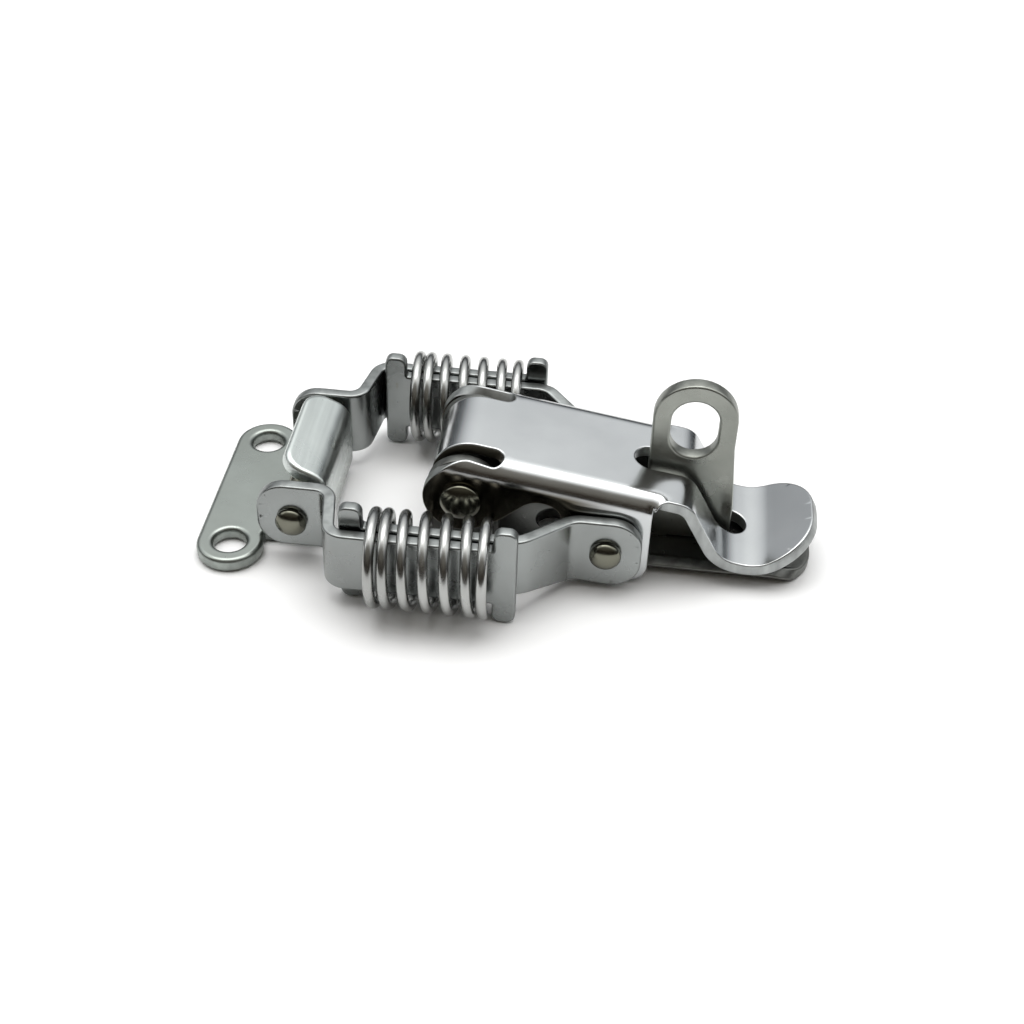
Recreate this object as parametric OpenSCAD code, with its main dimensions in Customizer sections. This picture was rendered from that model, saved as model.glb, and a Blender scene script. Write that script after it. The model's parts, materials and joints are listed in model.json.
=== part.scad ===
// Toggle bolt latch: double-spring draw latch with a padlock staple.
// Millimetres. +X runs from the strike towards the finger tab, +Z points away from the
// mounting plane z = 0, near is -Y and far is +Y. The origin is on the mounting plane
// under the lever pivot. The latch is drawn closed.

/* [Overall] */
// Overall outside width over the two springs
overall_width = 47.2; // [42:0.1:60]
// Distance from the lever pivot to the cross pin
pin_reach = 21.4; // [19:0.1:30]
// Distance from the lever pivot to the end of the finger tab
tab_reach = 45.3; // [43.5:0.1:60]

/* [Lever] */
// Outside width of the lever channel
lever_width = 18.3; // [16.5:0.1:21]
// Thickness of the lever sheet
lever_sheet = 1.6; // [1:0.1:2]
// Height of the lever top above the pivot axis
lever_rise = 6.0; // [5.6:0.1:7]
// Nose-down slope of the closed lever in degrees
lever_slope = 9; // [5:0.5:11]
// Width of the finger tab
tab_width = 16.4; // [12:0.1:18]
// Width of the curled tongue over the pivot
tongue_width = 10.4; // [7:0.1:10.6]
// Outside radius of the curled tongue
curl_radius = 5.0; // [4.6:0.1:5.4]
// Radius of the lever ears round the pivot
lever_ear_radius = 4.9; // [4:0.1:5.2]
// Outside radius of the long lever bends
lever_bend = 2.8; // [1.8:0.1:3]

/* [Base] */
// Thickness of the base sheet
base_sheet = 1.6; // [1:0.1:2]
// Width of the long part of the base plate
base_width = 13.8; // [11:0.1:14.4]
// Distance from the pivot to the far end of the base
base_reach = 45.0; // [43:0.1:60]
// Height of the lever pivot above the mounting plane
pivot_height = 11.0; // [10:0.1:13]
// Radius of the base ears
base_ear_radius = 4.7; // [4:0.1:5]
// Diameter of the mounting screw holes
screw_hole = 4.3; // [3.2:0.1:4.6]

/* [Staple] */
// Thickness of the padlock staple
staple_thick = 2.0; // [1.5:0.1:2.6]
// Width of the padlock staple
staple_width = 10.6; // [9:0.1:11]
// Height of the staple above the mounting plane
staple_height = 25.6; // [22:0.1:28]
// Width of the padlock hole
shackle_hole = 6.0; // [5:0.1:7]
// Extra length of the padlock hole over its width
shackle_extra = 2.4; // [0:0.1:3]

/* [Bail] */
// Thickness of the bail arms
arm_sheet = 1.6; // [1:0.1:1.8]
// Distance from the lever pivot to the link rivets along X
link_reach = 18.6; // [17:0.1:20]
// Height of the link rivets above the mounting plane
link_height = 6.0; // [5.6:0.1:7]
// Height of the cross pin above the mounting plane
pin_height = 6.5; // [6:0.1:8]
// Diameter of the cross pin between the arms
pin_diameter = 4.0; // [3:0.1:4.6]
// Height of the spring seats at the arm ends
seat_height = 14.3; // [13:0.1:14.4]
// Depth of the spring seats along X
seat_depth = 2.9; // [2:0.1:3.5]

/* [Springs] */
// Wire diameter of the springs
wire = 1.4; // [0.8:0.05:1.5]
// Outside diameter of the springs
spring_od = 12.7; // [11:0.1:13]
// Number of turns in each spring
turns = 6.8; // [5:0.1:7.5]
// Distance from the pivot to the left end of the springs
spring_left = 11.0; // [10:0.1:13]
// Distance from the pivot to the right end of the springs
spring_right = 5.2; // [4:0.1:6]

/* [Strike] */
// Thickness of the strike plate
strike_sheet = 2.0; // [1.2:0.1:2.4]
// Distance between the two strike screw holes
strike_pitch = 21.4; // [19:0.1:26]
// Radius of the round strike ends
strike_lobe = 4.3; // [3.9:0.1:5.5]
// Width of the strike hook
hook_width = 16.4; // [10:0.1:17]
// Height of the hook top above the mounting plane
hook_height = 13.6; // [13:0.1:15]

/* [Hidden] */
$fn = 64;
// Clearances: round a shank, beside a turning plate, under a rivet head, and a small overlap
run_fit = 0.05;
side_gap = 0.2;
face_gap = 0.03;
eps = 0.01;
plate_gap = 0.4;
seat_floor = 0.1;
coil_clear = 0.35;
inside_gap = 0.3;
hook_gap = 0.6;

lever_y = lever_width / 2;
lever_in_y = lever_y - lever_sheet;
ear_out_y = lever_in_y - side_gap;
ear_in_y = ear_out_y - base_sheet;
arm_in_y = lever_y + side_gap;
arm_out_y = arm_in_y + arm_sheet;
spring_y = overall_width / 2 - spring_od / 2;
arm_mid_y = arm_in_y + arm_sheet / 2;
inner_y = spring_y - (arm_sheet + plate_gap) / 2;
outer_y = spring_y + (arm_sheet + plate_gap) / 2;
spring_z = seat_floor + seat_height / 2;
coil_in_r = spring_od / 2 - wire;
plate_half = sqrt(pow(coil_in_r, 2) - pow(arm_sheet + plate_gap / 2, 2)) - coil_clear;
staple_x = 28.2;
seat_left = spring_left + 0.1;
seat_right = spring_right + 0.1;
seat_left_end = seat_left + seat_depth;
seat_right_end = seat_right + seat_depth;
seat_corner = 1.1;

// Rivet sizes: shank, head and neck radii, head height, and the low inner heads
pivot_shank = 1.5;
pivot_head = 2.6;
link_shank = 1.5;
link_head = 2.0;
pin_neck = 1.4;
pin_head = 2.0;
head_rise = 1.6;
head_rim = 0.6;
flush_head = 0.5;
flush_rim = 0.4;

// Sheet-metal outline helpers: points on a rounded path and a strip of even thickness
function unit(v) = v / norm(v);
function arc(c, r, a0, a1, n) = [for (i = [0:n])
    c + r * [cos(a0 + (a1 - a0) * i / n), sin(a0 + (a1 - a0) * i / n)]];
function corner(a, b, c, r, n) =
    let (u = unit(a - b), v = unit(c - b), w = acos(u * v), m = b + unit(u + v) * r / sin(w / 2))
    let (s = b + u * r / tan(w / 2), e = b + v * r / tan(w / 2))
    let (a0 = atan2(s[1] - m[1], s[0] - m[0]), a1 = atan2(e[1] - m[1], e[0] - m[0]))
    let (d = a1 - a0, q = d > 180 ? d - 360 : (d < -180 ? d + 360 : d))
    arc(m, r, a0, a0 + q, n);
function path(p, r, n = 8) = [for (i = [0:len(p) - 1])
    each (i == 0 || i == len(p) - 1 || r[i] == 0 ? [p[i]] : corner(p[i - 1], p[i], p[i + 1], r[i], n))];
function ring(p, r, n = 10) = [for (i = [0:len(p) - 1])
    each (r[i] == 0 ? [p[i]]
        : corner(p[(i + len(p) - 1) % len(p)], p[i], p[(i + 1) % len(p)], r[i], n))];
function turn(v) = [-v[1], v[0]];
function miter(p, i) =
    let (a = i == 0 ? p[1] - p[0] : p[i] - p[i - 1])
    let (b = i == len(p) - 1 ? a : p[i + 1] - p[i])
    let (m = unit(turn(unit(a)) + turn(unit(b))))
    m / (m * turn(unit(a)));
function side(p, d) = [for (i = [0:len(p) - 1]) p[i] + d * miter(p, i)];
function reversed(p) = [for (i = [len(p) - 1:-1:0]) p[i]];
module strip(p, t) { polygon(concat(side(p, t / 2), reversed(side(p, -t / 2)))); }
// Extrude an XZ outline from y = y0 to y = y1
module slab(y0, y1) { translate([0, y1, 0]) rotate([90, 0, 0]) linear_extrude(y1 - y0) children(); }
// Round bar along Y from y = y0 to y = y1
module bar(x, z, r, y0, y1) { translate([x, y1, z]) rotate([90, 0, 0]) cylinder(r = r, h = y1 - y0); }
// Button rivet head with a domed crown: base at y = y0, rising towards s * Y
module dome(x, z, r, y0, s) {
    crown = head_rise - head_rim;
    big = (r * r + crown * crown) / (2 * crown);
    lim = asin(r / big);
    prof = concat([[0, 0], [r, 0]], [for (i = [0:12])
        big * [sin(lim * (12 - i) / 12), cos(lim * (12 - i) / 12)] + [0, head_rise - big]]);
    translate([x, y0, z]) rotate([-90 * s, 0, 0]) rotate_extrude() polygon(prof);
}
module mirrored(s) { if (s > 0) children(); else mirror([0, 1, 0]) children(); }

// ---- base: plate with two ears and two screw holes ----
base_half = min(base_width / 2, lever_in_y - inside_gap);
neck_start = base_ear_radius + 2.5;
neck_end = base_ear_radius + 4.0;
neck_round = 0.8;
base_corner = 5.5;
module base_outline() {
    polygon(ring([[-base_ear_radius, -ear_out_y], [neck_start, -ear_out_y], [neck_end, -base_half],
        [base_reach, -base_half], [base_reach, base_half], [neck_end, base_half],
        [neck_start, ear_out_y], [-base_ear_radius, ear_out_y]],
        [0, neck_round, neck_round, base_corner, base_corner, neck_round, neck_round, 0]));
}
base_hole_x = [11.2, base_reach - 4.8];
tenon_x = [staple_x - 3.3, staple_x + 3.3];
tenon_len = 3.0;
tenon_fit = 0.02;
tenon_foot = 0.05;
fold_edge = 0.9;
module ear_outline() {
    translate([0, pivot_height]) circle(r = base_ear_radius);
    translate([-base_ear_radius, 0]) square([2 * base_ear_radius, pivot_height]);
}
module base() {
    color([0.72, 0.72, 0.70]) difference() {
        union() {
            linear_extrude(base_sheet) base_outline();
            for (s = [-1, 1]) mirrored(s) slab(ear_in_y, ear_out_y) ear_outline();
        }
        bar(0, pivot_height, pivot_shank + run_fit, -ear_out_y - 1, ear_out_y + 1);
        for (x = base_hole_x) translate([x, 0, -1]) cylinder(d = screw_hole, h = base_sheet + 2);
        for (x = tenon_x) translate([x - tenon_len / 2 - tenon_fit, -staple_thick / 2 - tenon_fit, -1])
            cube([tenon_len + 2 * tenon_fit, staple_thick + 2 * tenon_fit, base_sheet + 2]);
        // outer edges under the ears are rounded by the bend
        for (s = [-1, 1]) mirrored(s) translate([0, ear_out_y, 0]) rotate([45, 0, 0])
            cube([60, fold_edge, fold_edge], center = true);
    }
}

// ---- staple: upright plate with an oblong padlock hole and two tenons ----
staple_r = staple_width / 2;
ring_wall = 2.4;
hole_top_z = staple_height - ring_wall - shackle_hole / 2;
ring_z = staple_height - staple_r;
foot_flare = 0.8;
foot_height = 6.0;
module staple_outline() {
    left = staple_x - staple_r;
    right = staple_x + staple_r;
    translate([staple_x, ring_z]) circle(r = staple_r);
    polygon([[left, ring_z], [left, base_sheet], [right + foot_flare, base_sheet],
        [right + foot_flare, base_sheet + foot_height], [right, ring_z - 4], [right, ring_z]]);
}
module staple() {
    color([0.66, 0.65, 0.62]) difference() {
        union() {
            slab(-staple_thick / 2, staple_thick / 2) staple_outline();
            for (x = tenon_x) translate([x - tenon_len / 2, -staple_thick / 2, tenon_foot])
                cube([tenon_len, staple_thick, base_sheet]);
        }
        for (dz = [0, -shackle_extra])
            bar(staple_x, hole_top_z + dz, shackle_hole / 2, -staple_thick, staple_thick);
        translate([staple_x - shackle_hole / 2, -staple_thick, hole_top_z - shackle_extra])
            cube([shackle_hole, 2 * staple_thick, shackle_extra]);
    }
}

// ---- short pivot rivets joining the lever ears to the base ears ----
module pivot_rivet() {
    bar(0, pivot_height, pivot_shank, ear_in_y - eps, lever_y + face_gap + eps);
    bar(0, pivot_height, pivot_shank + flush_rim, ear_in_y - flush_head, ear_in_y);
    dome(0, pivot_height, pivot_head, lever_y + face_gap, 1);
}
module pivot_rivet_near() { color([0.45, 0.42, 0.38]) mirrored(-1) pivot_rivet(); }
module pivot_rivet_far() { color([0.45, 0.42, 0.38]) mirrored(1) pivot_rivet(); }

// ---- lever: channel with curled tongue, relief slots, staple slot and finger tab ----
// Lever-frame places along the top line: curl centre, knee, valley and tab tip
top_mid = lever_rise - lever_sheet / 2;
curl_x = 0.6;
curl_z = lever_rise - curl_radius;
curl_mid = curl_radius - lever_sheet / 2;
curl_end = 205;
knee_x = 27.7;
valley_left = 33.4;
valley_right = 38.6;
valley_z = -2.15;
tab_rise = 0.8;
tab_x = tab_reach * cos(lever_slope) + 0.6;
tab_z = valley_z + (tab_x - valley_right) * tab_rise;
line_bends = [0, 2.4, 5, 6, 0];
tab_corner = 7.0;
tongue_half = min(tongue_width / 2, ear_in_y - inside_gap);
// Flange outline below the lever top, in world X and Z
flange_end = 24.0;
flange_foot = 0.25;
flange_points = [[-1, pivot_height - 3], [4.5, pivot_height - 3.2], [9.2, 12.0], [12.2, 10.8],
    [14.2, 4.2], [19.2, flange_foot], [flange_end, flange_foot], [flange_end, 13.5],
    [flange_end, 22], [-1, 22]];
flange_bends = [0, 2, 3, 2, 3, 2, 2.6, 0, 0, 0];
module in_lever() { translate([0, pivot_height]) rotate(-lever_slope) children(); }
// The lever top line, from the curl over the pivot to the tip of the tab
function lever_line() = concat(
    arc([curl_x, curl_z], curl_mid, curl_end, 90, 16),
    path([[curl_x + 1, top_mid], [knee_x, top_mid], [valley_left, valley_z], [valley_right, valley_z],
        [tab_x, tab_z]], line_bends));
module flange_outline() {
    difference() {
        union() {
            translate([0, pivot_height]) circle(r = lever_ear_radius);
            polygon(ring(flange_points, flange_bends));
        }
        // everything above the lever top, and the corner above the ear
        in_lever() polygon([[-20, lever_rise], [60, lever_rise], [60, 40], [-20, 40]]);
        in_lever() polygon([[-20, 0], [-lever_ear_radius, 0], [0, lever_ear_radius], [3.2, lever_ear_radius],
            [5.0, lever_rise], [5.0, 30], [-20, 30]]);
    }
    translate([0, pivot_height]) circle(r = lever_ear_radius);
}
// Channel cross-section in YZ with rounded outer bends, top at z = 0
module channel_section() {
    o = lever_bend;
    i = lever_bend - lever_sheet;
    w = lever_in_y;
    polygon(concat([[-lever_y, -30]], arc([-lever_y + o, -o], o, 180, 90, 8),
        arc([lever_y - o, -o], o, 90, 0, 8), [[lever_y, -30], [w, -30]],
        arc([w - i, -lever_sheet - i], i, 0, 90, 5),
        arc([-w + i, -lever_sheet - i], i, 90, 180, 5), [[-w, -30]]));
}
slot_left = 21.0;
slot_right = 36.4;
slot_half = staple_thick / 2 + 1.2;
slot_in_y = tongue_half;
slot_out_y = lever_in_y + 0.05;
slot_end = 4.1;
slot_r = (slot_out_y - slot_in_y) / 2;
module lever() {
    color([0.80, 0.80, 0.80]) difference() {
        union() {
            intersection() {
                translate([0, 0, pivot_height]) rotate([0, lever_slope, 0])
                    translate([-8, 0, lever_rise]) rotate([90, 0, 90]) linear_extrude(40) channel_section();
                slab(-30, 30) flange_outline();
            }
            // tongue and finger tab, cut from one strip
            intersection() {
                slab(-30, 30) in_lever() strip(lever_line(), lever_sheet);
                linear_extrude(60) union() {
                    translate([-12, -tongue_half]) square([18, 2 * tongue_half]);
                    polygon(ring([[5, -tab_width / 2], [tab_reach, -tab_width / 2],
                        [tab_reach, tab_width / 2], [5, tab_width / 2]], [0, tab_corner, tab_corner, 0], 16));
                }
            }
        }
        // relief slots beside the tongue
        for (s = [-1, 1]) mirrored(s)
            translate([0, 0, pivot_height]) rotate([0, lever_slope, 0]) union() {
                translate([-12, slot_in_y, 0.5]) cube([12 + slot_end - slot_r, 2 * slot_r, 12]);
                translate([slot_end - slot_r, slot_in_y + slot_r, 0.5]) cylinder(r = slot_r, h = 12);
            }
        // long slot for the staple
        translate([0, 0, -1]) union() {
            translate([slot_left + slot_half, -slot_half, 0])
                cube([slot_right - slot_left - 2 * slot_half, 2 * slot_half, 40]);
            translate([slot_left + slot_half, 0, 0]) cylinder(r = slot_half, h = 40);
            translate([slot_right - slot_half, 0, 0]) cylinder(r = slot_half, h = 40);
        }
        bar(0, pivot_height, pivot_shank + run_fit, -lever_y - 1, lever_y + 1);
        bar(link_reach, link_height, link_shank + run_fit, -lever_y - 1, lever_y + 1);
    }
}

// ---- link rivets joining the lever arms to the lever flanges ----
module link_rivet() {
    bar(link_reach, link_height, link_shank, lever_in_y - eps, arm_out_y + face_gap + eps);
    bar(link_reach, link_height, link_shank + flush_rim, lever_in_y - flush_head, lever_in_y);
    dome(link_reach, link_height, link_head, arm_out_y + face_gap, 1);
}
module link_rivet_near() { color([0.45, 0.42, 0.38]) mirrored(-1) link_rivet(); }
module link_rivet_far() { color([0.45, 0.42, 0.38]) mirrored(1) link_rivet(); }

// ---- lever arm: inner plate from the link rivet through the spring to its left seat ----
ear_half = 4.7;
ear_reach = 4.5;
ear_drop = 0.9;
ear_corner = 3.8;
jog_right = link_reach - 4.4;
jog_left = link_reach - 10.2;
jog_bend = 3.0;
plate_low = spring_z - plate_half;
plate_high = spring_z + plate_half;
seat_low = spring_z - seat_height / 2;
seat_high = spring_z + seat_height / 2;
module lever_arm_plan() {
    strip(path([[link_reach + 2 * ear_reach, arm_mid_y], [jog_right, arm_mid_y], [jog_left, inner_y],
        [-seat_left_end, inner_y]], [0, jog_bend, jog_bend, 0]), arm_sheet);
}
module lever_arm_side() {
    x1 = link_reach + ear_reach;
    polygon(ring([
        [-seat_left_end, seat_low], [-seat_left, seat_low], [-seat_left, plate_low],
        [jog_left + 0.2, plate_low], [jog_right - 0.8, link_height - ear_half],
        [x1, link_height - ear_half - ear_drop], [x1, link_height + ear_half],
        [jog_right - 0.2, link_height + ear_half], [jog_left + 0.6, plate_high],
        [-seat_left, plate_high], [-seat_left, seat_high], [-seat_left_end, seat_high]],
        [seat_corner, seat_corner, 0, jog_bend, jog_bend, ear_corner, ear_corner, jog_bend, jog_bend, 0,
        seat_corner, seat_corner]));
}
module lever_arm() {
    difference() {
        intersection() {
            linear_extrude(30) lever_arm_plan();
            slab(0, 40) lever_arm_side();
        }
        bar(link_reach, link_height, link_shank + run_fit, arm_in_y - 1, arm_out_y + 1);
    }
}
module lever_arm_near() { color([0.70, 0.70, 0.70]) mirrored(-1) lever_arm(); }
module lever_arm_far() { color([0.70, 0.70, 0.70]) mirrored(1) lever_arm(); }

// ---- hook arm: outer plate from the cross pin through the spring to its right seat ----
hook_ear_bottom = strike_sheet + 0.35;
hook_ear_top = 11.8;
hook_ear_round = 3.4;
crank_run = 1.3;
crank_bend = 2.2;
// The crank's upper bend curves round the end of the lever arm's spring seat
crank_turn = atan2(outer_y - arm_mid_y, crank_run);
crank_top = -seat_left_end + 0.8 - crank_bend * tan(crank_turn / 2);
crank_foot = crank_top - crank_run;
module hook_arm_plan() {
    strip(path([[-pin_reach - 2 * ear_reach, arm_mid_y], [crank_foot, arm_mid_y], [crank_top, outer_y],
        [seat_right_end, outer_y]], [0, crank_bend, crank_bend, 0]), arm_sheet);
}
module hook_arm_side() {
    x0 = -pin_reach - ear_reach;
    polygon(ring([
        [x0, hook_ear_bottom], [crank_foot + 0.4, hook_ear_bottom], [crank_top - 0.2, plate_low],
        [seat_right, plate_low], [seat_right, seat_low], [seat_right_end, seat_low],
        [seat_right_end, seat_high], [seat_right, seat_high], [seat_right, plate_high],
        [crank_top + 0.2, plate_high], [crank_foot + 0.6, hook_ear_top], [x0, hook_ear_top]],
        [hook_ear_round, 2, 1.5, 0, seat_corner, seat_corner, seat_corner, seat_corner, 0, 1.5, 1.5,
        ear_corner]));
}
module hook_arm() {
    difference() {
        intersection() {
            linear_extrude(30) hook_arm_plan();
            slab(0, 40) hook_arm_side();
        }
        bar(-pin_reach, pin_height, pin_neck + run_fit, arm_in_y - 1, arm_out_y + 1);
    }
}
module hook_arm_near() { color([0.70, 0.70, 0.70]) mirrored(-1) hook_arm(); }
module hook_arm_far() { color([0.70, 0.70, 0.70]) mirrored(1) hook_arm(); }

// ---- cross pin with riveted domed ends ----
module cross_pin() {
    color([0.45, 0.42, 0.38]) union() {
        bar(-pin_reach, pin_height, pin_diameter / 2, -arm_in_y + run_fit, arm_in_y - run_fit);
        bar(-pin_reach, pin_height, pin_neck, -arm_out_y - eps, arm_out_y + eps);
        dome(-pin_reach, pin_height, pin_head, arm_out_y, 1);
        dome(-pin_reach, pin_height, pin_head, -arm_out_y, -1);
    }
}

// ---- springs: right-hand wire coils with closed ends ----
// Coil pitch: closed at the left end, open in the middle, and falling over the last turn
end_pitch = wire + 0.05;
end_turns = 0.8;
open_turns = 1.6;
last_fall = 0.8;
function eased(t, w) = t <= 0 ? 0 : (t >= w ? t - w / 2 : t * t / (2 * w));
function left_open(t) = eased(t - end_turns, open_turns);
function right_shut(t) = last_fall * eased(t - (turns - 1), 1);
coil_len = spring_left + spring_right - wire;
open_pitch = (coil_len - end_pitch * (turns - left_open(turns))) / (left_open(turns) - right_shut(turns));
function coil_at(t) = end_pitch * t + (open_pitch - end_pitch) * left_open(t) - open_pitch * right_shut(t);
coil_r = (spring_od - wire) / 2;
coil_steps = round(turns * 20);
coil_start = -150;
wire_sides = 10;
function coil_x(s) = -spring_left + wire / 2 + coil_at(turns * s);
function coil_a(s) = coil_start + 360 * turns * s;
// Wire ring: point q of the section at coil position s
function coil_point(s, q) =
    let (b = 360 * q / wire_sides, rr = coil_r + wire / 2 * cos(b), a = coil_a(s))
    [coil_x(s) + wire / 2 * sin(b), -rr * sin(a), rr * cos(a)];
module spring() {
    pts = [for (i = [0:coil_steps]) for (q = [0:wire_sides - 1]) coil_point(i / coil_steps, q)];
    n = wire_sides;
    sides = [for (i = [0:coil_steps - 1]) for (q = [0:n - 1])
        each [[i * n + q, i * n + (q + 1) % n, (i + 1) * n + (q + 1) % n],
            [i * n + q, (i + 1) * n + (q + 1) % n, (i + 1) * n + q]]];
    caps = [[for (q = [n - 1:-1:0]) q], [for (q = [0:n - 1]) coil_steps * n + q]];
    polyhedron(pts, concat(sides, caps), convexity = 12);
}
module spring_near() { color([0.78, 0.78, 0.78]) translate([0, -spring_y, spring_z]) spring(); }
module spring_far() { color([0.78, 0.78, 0.78]) translate([0, spring_y, spring_z]) spring(); }

// ---- strike: screw plate with a hook over the cross pin ----
strike_x = -pin_reach - 8.5;
strike_left = strike_x - strike_lobe;
pin_play = 0.1;
hook_half = min(hook_width / 2, arm_in_y - hook_gap);
hook_wall = pin_reach - pin_diameter / 2 - pin_play - strike_sheet / 2;
hook_bend = 2.2;
// The lip leans up and away from the wall, over the cross pin
lip_tilt = 24;
lip_bend = 2.0;
lip_reach = 1.5;
lip_corner = 3.0;
lip_spare = 2;
lip_x = -pin_reach - lip_reach;
lip_top_mid = hook_height - strike_sheet / 2 / cos(lip_tilt);
lip_root_z = lip_top_mid + (lip_x + hook_wall) * tan(lip_tilt);
waist_inset = 0.6;
module strike_plan() {
    h = strike_pitch / 2;
    union() {
        for (s = [-1, 1]) translate([strike_x, s * h]) circle(r = strike_lobe);
        translate([strike_left, -h]) square([2 * strike_lobe - waist_inset, 2 * h]);
        translate([strike_x, -hook_half]) square([30, 2 * hook_half]);
    }
}
module hook_line() {
    strip(path([[strike_left - 4, strike_sheet / 2], [-hook_wall, strike_sheet / 2],
        [-hook_wall, lip_root_z], [lip_x - lip_spare, lip_top_mid + lip_spare * tan(lip_tilt)]],
        [0, hook_bend, lip_bend, 0]), strike_sheet);
}
module lip_plan() {
    polygon(ring([[lip_x, -hook_half], [0, -hook_half], [0, hook_half], [lip_x, hook_half]],
        [lip_corner, 0, 0, lip_corner]));
}
module strike() {
    color([0.74, 0.74, 0.72]) difference() {
        union() {
            intersection() {
                slab(-40, 40) hook_line();
                linear_extrude(strike_sheet + 0.5) strike_plan();
            }
            intersection() {
                slab(-hook_half, hook_half) hook_line();
                translate([0, 0, strike_sheet + 0.4]) linear_extrude(30) lip_plan();
            }
        }
        for (s = [-1, 1]) translate([strike_x, s * strike_pitch / 2, -1])
            cylinder(d = screw_hole, h = strike_sheet + 2);
    }
}

base();
staple();
pivot_rivet_near();
pivot_rivet_far();
lever();
link_rivet_near();
link_rivet_far();
lever_arm_near();
lever_arm_far();
spring_near();
spring_far();
hook_arm_near();
hook_arm_far();
cross_pin();
strike();
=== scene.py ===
"""Looks of the toggle bolt latch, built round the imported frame.

Shapes are worked out in millimetres, and new_piece turns them into metres. Materials, lights and
the camera are in metres."""
import json
import math

import bmesh
import bpy
from mathutils import Matrix, Vector
from mathutils.geometry import delaunay_2d_cdt


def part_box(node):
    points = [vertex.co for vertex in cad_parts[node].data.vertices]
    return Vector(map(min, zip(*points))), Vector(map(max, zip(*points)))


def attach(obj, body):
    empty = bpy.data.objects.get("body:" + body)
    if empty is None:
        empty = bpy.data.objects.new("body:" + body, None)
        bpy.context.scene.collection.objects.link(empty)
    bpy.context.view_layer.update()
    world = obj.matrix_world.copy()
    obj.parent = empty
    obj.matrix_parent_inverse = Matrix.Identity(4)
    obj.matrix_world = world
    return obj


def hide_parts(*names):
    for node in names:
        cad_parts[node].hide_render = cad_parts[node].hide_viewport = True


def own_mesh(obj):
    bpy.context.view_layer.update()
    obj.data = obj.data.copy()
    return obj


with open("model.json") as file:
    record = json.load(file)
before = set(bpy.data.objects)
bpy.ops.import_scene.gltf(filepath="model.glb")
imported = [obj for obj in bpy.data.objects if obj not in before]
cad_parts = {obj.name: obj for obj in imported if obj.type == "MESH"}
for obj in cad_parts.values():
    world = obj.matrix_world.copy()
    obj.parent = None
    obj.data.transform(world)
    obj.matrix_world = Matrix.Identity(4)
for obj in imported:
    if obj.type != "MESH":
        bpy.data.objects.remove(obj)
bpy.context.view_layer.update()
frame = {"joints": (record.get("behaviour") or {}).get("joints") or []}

# ---------------------------------------------------------------- sizes read from the frame
MM = 0.001


def box_mm(node):
    low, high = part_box(node)
    return low / MM, high / MM


def joint_point(name):
    found = next(j for j in frame["joints"] if j["name"] == name)
    return Vector(found["pos_m"]) / MM


PIVOT = joint_point("lever_pivot")
LINK = joint_point("bail_turn")
BASE_LOW, BASE_HIGH = box_mm("base")
LEVER_HIGH = box_mm("lever")[1]
STAPLE_LOW, STAPLE_HIGH = box_mm("staple")
STRIKE_LOW, STRIKE_HIGH = box_mm("strike")
PIN_LOW, PIN_HIGH = box_mm("cross_pin")
PIN = (PIN_LOW + PIN_HIGH) / 2
PIN_R = (PIN_HIGH.z - PIN_LOW.z) / 2
HOOK_ARM_LOW, HOOK_ARM_HIGH = box_mm("hook_arm_far")
LEVER_ARM_LOW, LEVER_ARM_HIGH = box_mm("lever_arm_far")
SPRING_LOW, SPRING_HIGH = box_mm("spring_far")

# sheet gauges and fits, as in the CAD
BASE_SHEET = 1.6
LEVER_SHEET = 1.6
ARM_SHEET = 1.6
STRIKE_SHEET = 2.0
STAPLE_THICK = 2.0
WIRE = 1.4
SCREW_R = 2.15
RUN_FIT = 0.05
SIDE_GAP = 0.2
FACE_GAP = 0.03
PLATE_GAP = 0.4

LEVER_Y = LEVER_HIGH.y
LEVER_IN_Y = LEVER_Y - LEVER_SHEET
ARM_IN_Y = LEVER_Y + SIDE_GAP
ARM_MID_Y = ARM_IN_Y + ARM_SHEET / 2
ARM_OUT_Y = ARM_IN_Y + ARM_SHEET
OUTER_Y = HOOK_ARM_HIGH.y - ARM_SHEET / 2
INNER_Y = OUTER_Y - ARM_SHEET - PLATE_GAP
SPRING_Y = (SPRING_LOW.y + SPRING_HIGH.y) / 2
SPRING_Z = (SPRING_LOW.z + SPRING_HIGH.z) / 2
SEAT_LOW_Z, SEAT_HIGH_Z = HOOK_ARM_LOW.z, HOOK_ARM_HIGH.z

# ---------------------------------------------------------------- paths and outlines
def unit(v):
    return v / v.length


def arc_points(centre, radius, start, sweep, count):
    return [
        Vector((centre[0] + radius * math.cos(start + sweep * i / count),
                centre[1] + radius * math.sin(start + sweep * i / count)))
        for i in range(count + 1)
    ]


def screw_hole(x, y):
    return arc_points((x, y), SCREW_R, 0, 2 * math.pi, 48)[:-1]


def mirrored(points):
    """The points reflected in Y and in reverse order, to close a symmetric outline."""
    return [Vector((p.x, -p.y)) for p in reversed(points)]


def corner_arc(a, b, c, radius):
    """Centre, start angle and sweep of the arc that rounds the corner b between a and c."""
    u, v = unit(a - b), unit(c - b)
    half = math.acos(max(-1.0, min(1.0, u.dot(v)))) / 2
    centre = b + unit(u + v) * (radius / math.sin(half))
    begin, end = b + u * (radius / math.tan(half)), b + v * (radius / math.tan(half))
    start = math.atan2(begin.y - centre.y, begin.x - centre.x)
    sweep = math.atan2(end.y - centre.y, end.x - centre.x) - start
    sweep = (sweep + math.pi) % (2 * math.pi) - math.pi
    return centre, start, sweep, begin, end


CORNER_STEP = math.radians(7)


def outline(corners):
    """Closed outline from (x, y, radius) corners, with each corner rounded by an arc."""
    points = [Vector(c[:2]) for c in corners]
    result = []
    for i, (_, _, radius) in enumerate(corners):
        if radius <= 0:
            result.append(points[i])
            continue
        after = points[(i + 1) % len(points)]
        centre, start, sweep, _, _ = corner_arc(points[i - 1], points[i], after, radius)
        count = max(3, int(abs(sweep) / CORNER_STEP))
        result += arc_points(centre, radius, start, sweep, count)
    return result


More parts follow.
